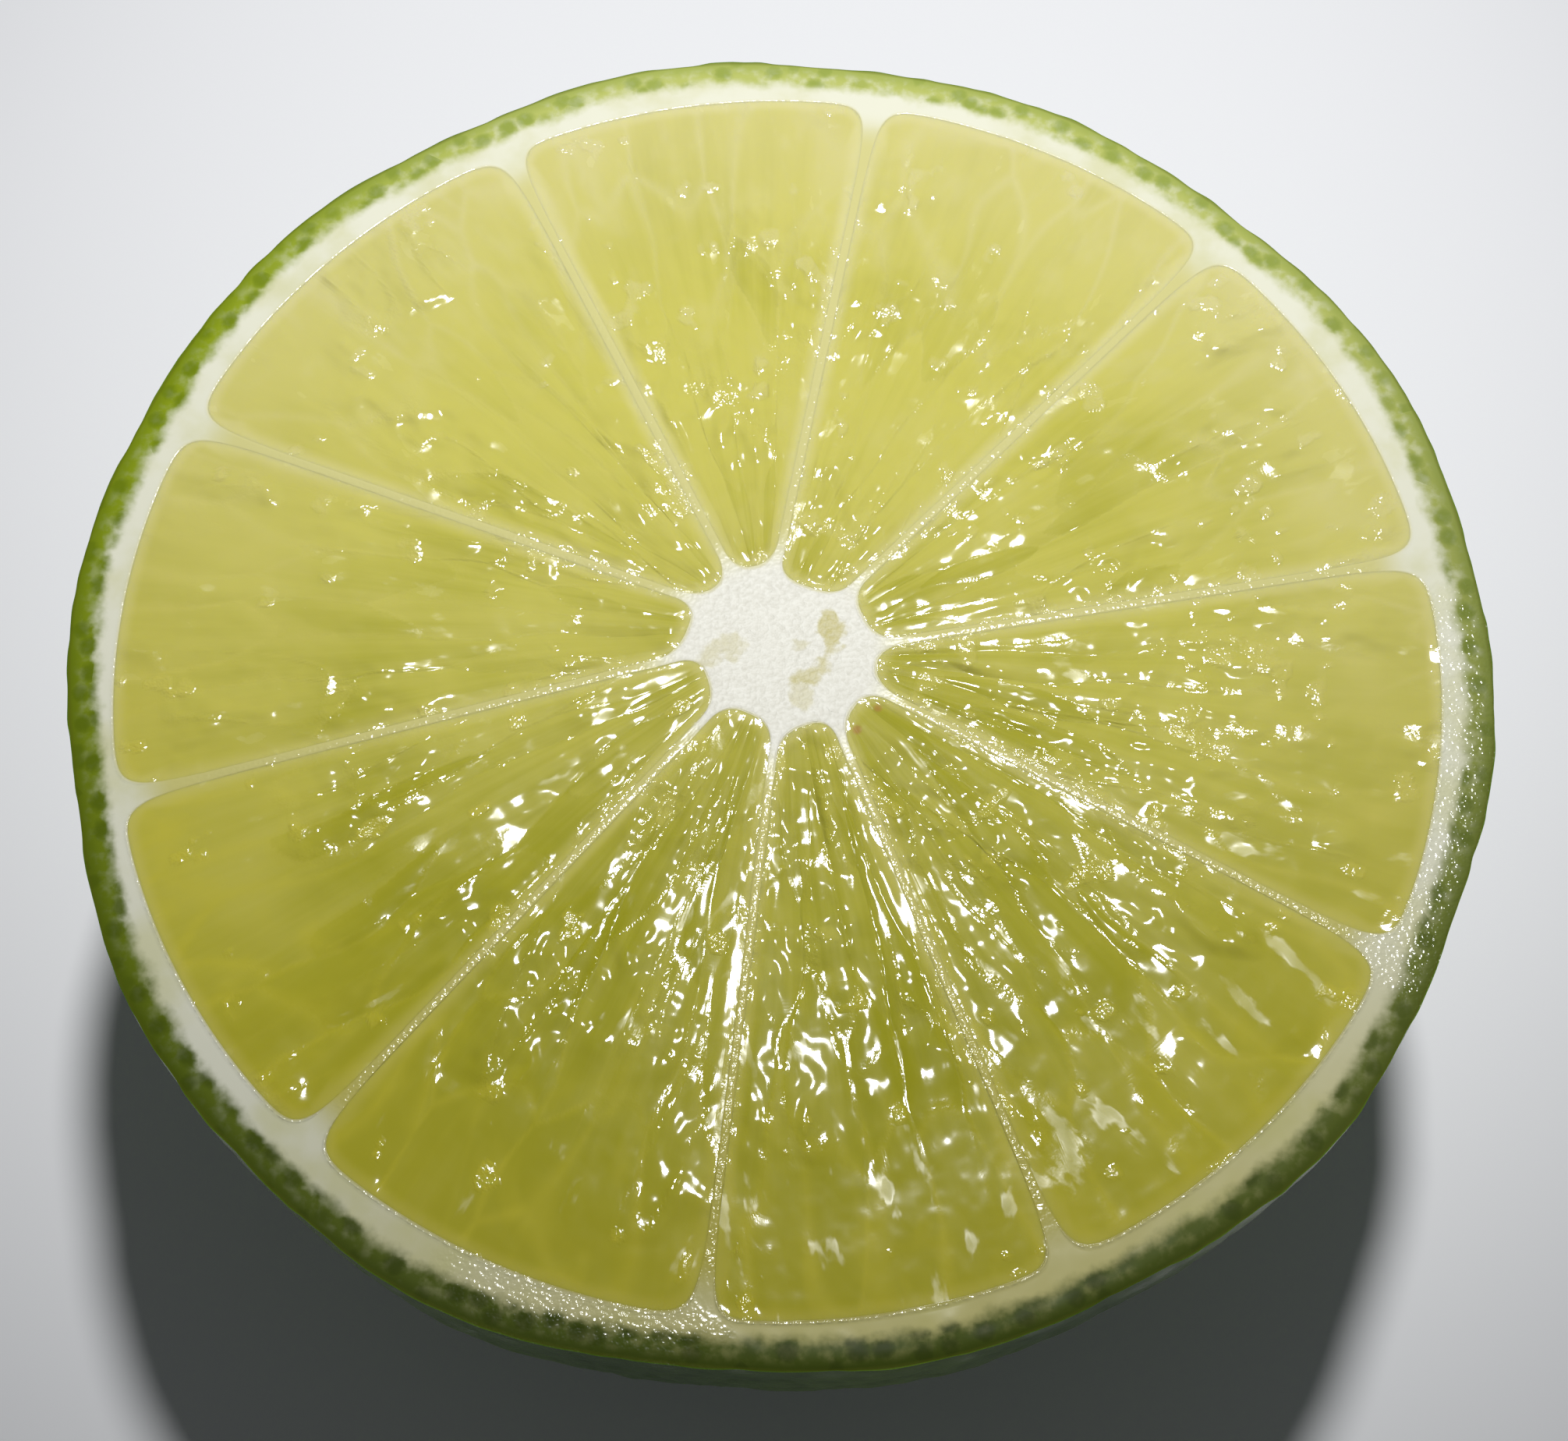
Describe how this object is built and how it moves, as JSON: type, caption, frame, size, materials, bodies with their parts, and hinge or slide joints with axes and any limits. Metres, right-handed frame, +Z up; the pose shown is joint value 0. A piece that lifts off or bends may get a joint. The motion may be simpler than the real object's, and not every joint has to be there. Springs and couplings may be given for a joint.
{
  "type": "lime half",
  "caption": "Half of a fresh lime, cut across its middle and lying cut face up: green rind, white pith with membranes and core, and juicy pulp segments.",
  "frame": {"origin": "centre of the small flat spot at the stem end that the half rests on", "axes": "+Z up, out of the cut face; +X to the right and +Y away from a viewer who looks at the cut face"},
  "size_m": [0.0499, 0.0498, 0.0276],
  "materials": {
    "rind": "waxy green citrus skin with fine oil glands, darker glands and a pale inner edge where it is cut",
    "pith": "moist, spongy, creamy white",
    "pulp": "wet, translucent yellow-green juice sacs with bright glints"
  },
  "bodies": {
    "root": {"rind": "rind", "pith": "pith", "pulp_01": "pulp", "pulp_02": "pulp", "pulp_03": "pulp", "pulp_04": "pulp", "pulp_05": "pulp", "pulp_06": "pulp", "pulp_07": "pulp", "pulp_08": "pulp", "pulp_09": "pulp", "pulp_10": "pulp"}
  },
  "joints": []
}
